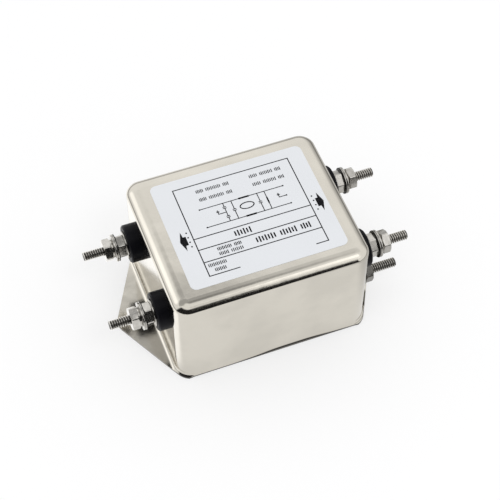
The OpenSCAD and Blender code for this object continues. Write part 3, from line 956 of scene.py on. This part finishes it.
class LINEFILTER_OT_label(bpy.types.Operator):
    """Lays the white film on the top and prints its frame, circuit and arrows"""

    bl_idname = "linefilter.label"
    bl_label = "Printed Label"

    def execute(self, context):
        settings = context.scene.linefilter_label
        middle, size = middle_of("label")
        face = label_sheet(middle, size, settings)
        black = label_ink("label_ink", settings)
        drawings = {
            "label_frame": lambda ink: ruled_frame(ink, settings.rule),
            "label_circuit": lambda ink: circuit(ink, settings.wire),
            "label_lines": blank_lines,
            "label_arrows": arrows,
        }
        for name, draw in drawings.items():
            ink = Print(middle, face)
            draw(ink)
            ink.dry(name, black, settings.ink_thickness)
        return {"FINISHED"}


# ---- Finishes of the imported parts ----


class FinishSettings(bpy.types.PropertyGroup):
    """Metals and plastics of the filter."""

    steel_colour: FloatVectorProperty(
        name="Case", description="Colour of the plated steel", subtype="COLOR",
        default=(0.675, 0.642, 0.572), min=0.0, max=1.0)
    steel_roughness: FloatProperty(
        name="Case roughness", description="Roughness of the plate", default=0.11, min=0.0,
        max=1.0, subtype="FACTOR")
    # Height of the darkened foot: cut edge with a painted gap shadow over it.
    cut_edge_and_gap_shadow: FloatProperty(
        name="Cut edge", description="Height of the dark edge at the foot", default=0.00115,
        min=0.0, max=0.002, precision=5, unit="LENGTH")
    nickel_colour: FloatVectorProperty(
        name="Hardware", description="Colour of the nickel", subtype="COLOR",
        default=(0.62, 0.6, 0.56), min=0.0, max=1.0)
    insulator_colour: FloatVectorProperty(
        name="Insulators", description="Colour of the insulators", subtype="COLOR",
        default=(0.004, 0.004, 0.006), min=0.0, max=1.0)


class LINEFILTER_OT_finishes(bpy.types.Operator):
    """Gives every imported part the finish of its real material"""

    bl_idname = "linefilter.finishes"
    bl_label = "Part Finishes"

    def execute(self, context):
        settings = context.scene.linefilter_finish
        resistor_middle, resistor_size = middle_of("bleed_resistor")
        board_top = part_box("board")[1].z + 0.0001
        hardware = plated_hardware("nickel_plate", settings)
        black = moulded("black_moulding", settings.insulator_colour, 0.42, specular=0.1)
        ivory = moulded("ivory_nylon", (0.62, 0.58, 0.46), 0.45)
        copper = bare_copper("bare_copper")
        wire = enamelled_wire("enamelled_wire")
        box_yellow = leaded_part("yellow_box", (0.55, 0.42, 0.04), board_top)
        finishes = {
            "case": drawn_steel("drawn_tin_plate", settings, (1.0, 1.0, 18.0), settings.cut_edge_and_gap_shadow),
            "bottom_cover": drawn_steel("pressed_tin_plate", settings, (22.0, 1.0, 1.0)),
            "insulating_sheet": moulded("fibre_sheet", (0.5, 0.45, 0.33), 0.7, 0.0009, 0.00002),
            "outer_insulators": black,
            "inner_insulators": black,
            "inner_washers": hardware,
            "inner_nuts": hardware,
            "terminal_straps": copper,
            "earth_strap": copper,
            "board": circuit_board("green_board"),
            "choke_stand": ivory,
            "choke_core": moulded("green_core_coat", (0.02, 0.09, 0.04), 0.3, 0.0008, 0.00002),
            "winding_1": wire,
            "winding_2": wire,
            "line_x_capacitor": box_yellow,
            "load_x_capacitor": box_yellow,
            "y_capacitors": leaded_part("blue_disc", (0.02, 0.1, 0.36), board_top),
            "bleed_resistor": banded_resistor("banded_resistor", resistor_middle,
                                              resistor_size.x * 0.7),
        }
        for node, material in finishes.items():
            wear(frame["nodes"][node], material)
        return {"FINISHED"}


# ---- Stage ----


class StageSettings(bpy.types.PropertyGroup):
    """Floor, light and camera."""

    azimuth: FloatProperty(
        name="Azimuth", description="Turn of the camera about the filter",
        default=math.radians(-21.0), subtype="ANGLE")
    elevation: FloatProperty(
        name="Elevation", description="Height of the camera as an angle",
        default=math.radians(54.07), subtype="ANGLE")
    roll: FloatProperty(
        name="Roll", description="Tilt of the camera about its view", default=math.radians(0.41),
        subtype="ANGLE")
    distance: FloatProperty(
        name="Distance", description="From the camera to the base's middle", default=0.5846,
        min=0.1, unit="LENGTH")
    aim_right: FloatProperty(
        name="Aim right", description="How far right the base's middle lies", default=-0.00185,
        unit="LENGTH")
    aim_up: FloatProperty(
        name="Aim up", description="How far up the base's middle lies", default=-0.01518,
        unit="LENGTH")
    lens: FloatProperty(
        name="Lens", description="Focal length in millimetres", default=100.4, min=20.0,
        unit="CAMERA")
    floor_colour: FloatVectorProperty(
        name="Floor", description="Colour of the floor", subtype="COLOR",
        default=(0.93, 0.93, 0.935), min=0.0, max=1.0)
    floor_radius: FloatProperty(
        name="Floor radius", description="Radius of the floor", default=0.45, min=0.3,
        unit="LENGTH")
    floor_glow: FloatProperty(
        name="Floor glow", description="How much its shadows are lifted", default=0.6, min=0.0,
        max=1.0, subtype="FACTOR")
    lamp_power: FloatProperty(
        name="Lamp", description="Power of the soft lamp", default=3.0, min=0.0, unit="POWER")
    sky: FloatProperty(
        name="Sky", description="Strength of the light from all round", default=1.0, min=0.0)


class Sky(Finish):
    """The light from all round, as a node tree of its own."""

    def __init__(self, world):
        world.use_nodes = True
        self.tree = world.node_tree
        self.shader = self.tree.nodes["Background"]


def rays(finish, *kinds):
    """1 for rays of the given kinds and 0 for the rest."""
    outputs = finish.add("ShaderNodeLightPath").socket.node.outputs
    seen = Value(finish, outputs[kinds[0]])
    for kind in kinds[1:]:
        seen = seen.largest(Value(finish, outputs[kind]))
    return seen


def towards(azimuth, elevation):
    """The direction at an azimuth from the front and an elevation, both in radians."""
    flat = math.cos(elevation)
    return (math.sin(azimuth) * flat, -math.cos(azimuth) * flat, math.sin(elevation))


# Places in the room that are brighter or duller than its walls: azimuth, elevation, and
# the radii of the full core and of the rim, all in degrees, then how much.
BRIGHT_PLACES = ((57.0, 68.0, 5.5, 10.0, 0.6), (42.0, 54.0, 3.0, 14.0, 0.25),
                 (-136.0, 38.0, 5.0, 17.0, 0.5), (180.0, 24.0, 20.0, 50.0, 0.1))
DULL_PLACES = ((30.0, 73.0, 2.0, 7.0, 0.3), (143.0, 74.0, 2.0, 8.0, 0.4),
               (124.0, 2.0, 8.0, 34.0, 0.45))


def room(sky):
    """What bright metal shows: light walls with brighter and duller places, the
    table's edge, and a dark figure behind the camera."""
    look = sky.add("ShaderNodeTexCoord", output="Generated")
    across, along, up = sky.axes(look)
    height = up.degrees()
    side = across.heading(0.0 - along)

    def patch(*angles, gain):
        azimuth, elevation, core, rim = (math.radians(angle) for angle in angles)
        near = sky.add("ShaderNodeVectorMath", {"operation": "DOT_PRODUCT"},
                       [look, towards(azimuth, elevation)], output="Value")
        return near.ramp(math.cos(rim), math.cos(core)) * gain

    light = 1.0
    for *angles, gain in BRIGHT_PLACES:
        light = light + patch(*angles, gain=gain)
    for *angles, gain in DULL_PLACES:
        light = light * (1.0 - patch(*angles, gain=gain))
    far_band = height.between(55.3, 77.0, 1.9) * along.ramp(0.03, 0.15)
    light = light * (1.0 - far_band * (0.55 - across.ramp(0.165, 0.27) * 0.37))
    table_edge = height.between(-4.0, 11.0, 4.0)
    shoulder = side + height / 8.0 - height.ramp(48.0, 62.0) * 7.0
    figure = (side.ramp(-92.0, -80.0) * (1.0 - shoulder.ramp(23.5, 28.5))
              * (1.0 - height.ramp(57.0, 67.0)) * height.ramp(-7.0, -1.0))
    return light * (1.0 - table_edge * 0.55) * (1.0 - figure * 0.99)


def light_sky(settings):
    """Even light, a white background, and a room for bright metal to show."""
    world = bpy.data.worlds.new("white_studio")
    bpy.context.scene.world = world
    sky = Sky(world)
    seen = rays(sky, "Is Camera Ray", "Is Transmission Ray")
    glossy = rays(sky, "Is Glossy Ray")
    plain = seen + (1.0 - seen) * settings.sky
    sky.set("Color", (1.0, 1.0, 1.0, 1.0))
    sky.set("Strength", plain * (1.0 - glossy) + room(sky) * glossy)


def lay_floor(settings):
    """A pale round floor under the filter, wider than the view; its shadows stay light."""
    deselect()
    bpy.ops.mesh.primitive_circle_add(vertices=96, radius=settings.floor_radius, fill_type="NGON",
                                      location=(0.0, 0.0, CAD_BOX[0][2] - 0.00002))
    floor = bpy.context.object
    floor.name = "floor"
    settle(floor)
    colour = settings.floor_colour
    finish = Finish("pale_floor", colour, 0.8, Specular_IOR_Level=0.2)
    finish.set("Base Color", finish.mix(finish.noise(0.4), tint(colour, 0.995), colour))
    camera, glossy = rays(finish, "Is Camera Ray"), rays(finish, "Is Glossy Ray")
    glow = finish.add("ShaderNodeEmission", None, {"Color": (1.0, 1.0, 1.0, 1.0),
                                                   "Strength": 1.0 + floor_gain(finish) * glossy})
    lit = Value(finish, finish.shader.outputs[0])
    pale = finish.add("ShaderNodeMixShader", None,
                      {0: camera * settings.floor_glow + glossy * 0.75, 1: lit, 2: glow})
    surface = finish.tree.nodes["Material Output"].inputs["Surface"]
    finish.tree.links.new(pale.socket, surface)
    wear(floor, finish.material)


def floor_gain(finish):
    """How much brighter than its glow the metal shows the floor: more beside the load
    end's wall, less beyond the line end."""
    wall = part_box("inner_insulators")[1].x + SHEET
    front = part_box("case")[0].y
    across, along = finish.axes()[:2]
    beside = 1.0 - across.ramp(-wall - 0.00675, -wall + 0.00025)
    beside = beside * along.ramp(front - 0.0017, front + 0.0083)
    beyond = across.ramp(wall - 0.00025, wall + 0.02975)
    return beside * 0.5 - beyond * 0.4 - 0.06


def hang_lamp(power):
    """A soft lamp in front of the filter that bright metal doesn't show."""
    place = Vector((0.35, -0.75, 1.3))
    deselect()
    bpy.ops.object.light_add(type="AREA", location=place)
    lamp = bpy.context.object
    lamp.name = lamp.data.name = "soft_box"
    lamp.data.shape = "RECTANGLE"
    lamp.data.size, lamp.data.size_y = 0.5, 0.4
    lamp.data.energy = power
    lamp.rotation_euler = (-place).to_track_quat("-Z", "Y").to_euler()
    lamp.visible_camera = lamp.visible_glossy = False


def place_camera(settings):
    """The camera looks down on the filter from the front and its load end."""
    back = Vector(towards(settings.azimuth, settings.elevation))
    turn = back.to_track_quat("Z", "Y") @ Quaternion((0.0, 0.0, 1.0), settings.roll)
    place = turn @ Vector((-settings.aim_right, -settings.aim_up, settings.distance))
    deselect()
    bpy.ops.object.camera_add(location=place, rotation=turn.to_euler())
    camera = bpy.context.object
    camera.name = "camera"
    camera.data.sensor_width = 36.0
    camera.data.lens = settings.lens
    camera.data.clip_start = 0.01
    bpy.context.scene.camera = camera


class LINEFILTER_OT_stage(bpy.types.Operator):
    """Sets the floor, the soft light, the room and the camera"""

    bl_idname = "linefilter.stage"
    bl_label = "Stage"

    def execute(self, context):
        settings = context.scene.linefilter_stage
        context.scene.view_settings.view_transform = "Standard"
        light_sky(settings)
        lay_floor(settings)
        hang_lamp(settings.lamp_power)
        place_camera(settings)
        return {"FINISHED"}


# ---- Panel, registration and making ----

STEPS = (LINEFILTER_OT_finishes, LINEFILTER_OT_studs, LINEFILTER_OT_hardware,
         LINEFILTER_OT_label, LINEFILTER_OT_stage)
SETTINGS = {
    "linefilter_finish": (FinishSettings, "Metals and plastics"),
    "linefilter_thread": (ThreadSettings, "Studs' thread"),
    "linefilter_hardware": (HardwareSettings, "Nuts and washers"),
    "linefilter_label": (LabelSettings, "Label"),
    "linefilter_stage": (StageSettings, "Stage"),
}


class LINEFILTER_PT_panel(bpy.types.Panel):
    """Lists the steps and their settings"""

    bl_idname = "LINEFILTER_PT_panel"
    bl_label = "Line Filter"
    bl_space_type = "VIEW_3D"
    bl_region_type = "UI"
    bl_category = "Line Filter"

    def draw(self, context):
        for step in STEPS:
            self.layout.operator(step.bl_idname)
        for name, (group, words) in SETTINGS.items():
            box = self.layout.box()
            box.label(text=words)
            for prop in group.__annotations__:
                box.prop(getattr(context.scene, name), prop)


def register():
    """Adds the settings, the steps and the panel."""
    for name, (group, words) in SETTINGS.items():
        bpy.utils.register_class(group)
        setattr(bpy.types.Scene, name, PointerProperty(type=group, name=words))
    for cls in (*STEPS, LINEFILTER_PT_panel):
        bpy.utils.register_class(cls)


def unregister():
    """Takes them away again, last first."""
    for cls in (LINEFILTER_PT_panel, *reversed(STEPS)):
        bpy.utils.unregister_class(cls)
    for name, (group, _) in reversed(SETTINGS.items()):
        delattr(bpy.types.Scene, name)
        bpy.utils.unregister_class(group)


def main():
    """Dresses the filter step by step."""
    register()
    bpy.ops.linefilter.finishes()
    bpy.ops.linefilter.studs()
    bpy.ops.linefilter.hardware()
    bpy.ops.linefilter.label()
    bpy.ops.linefilter.stage()
    deselect()


if __name__ == "__main__":
    main()
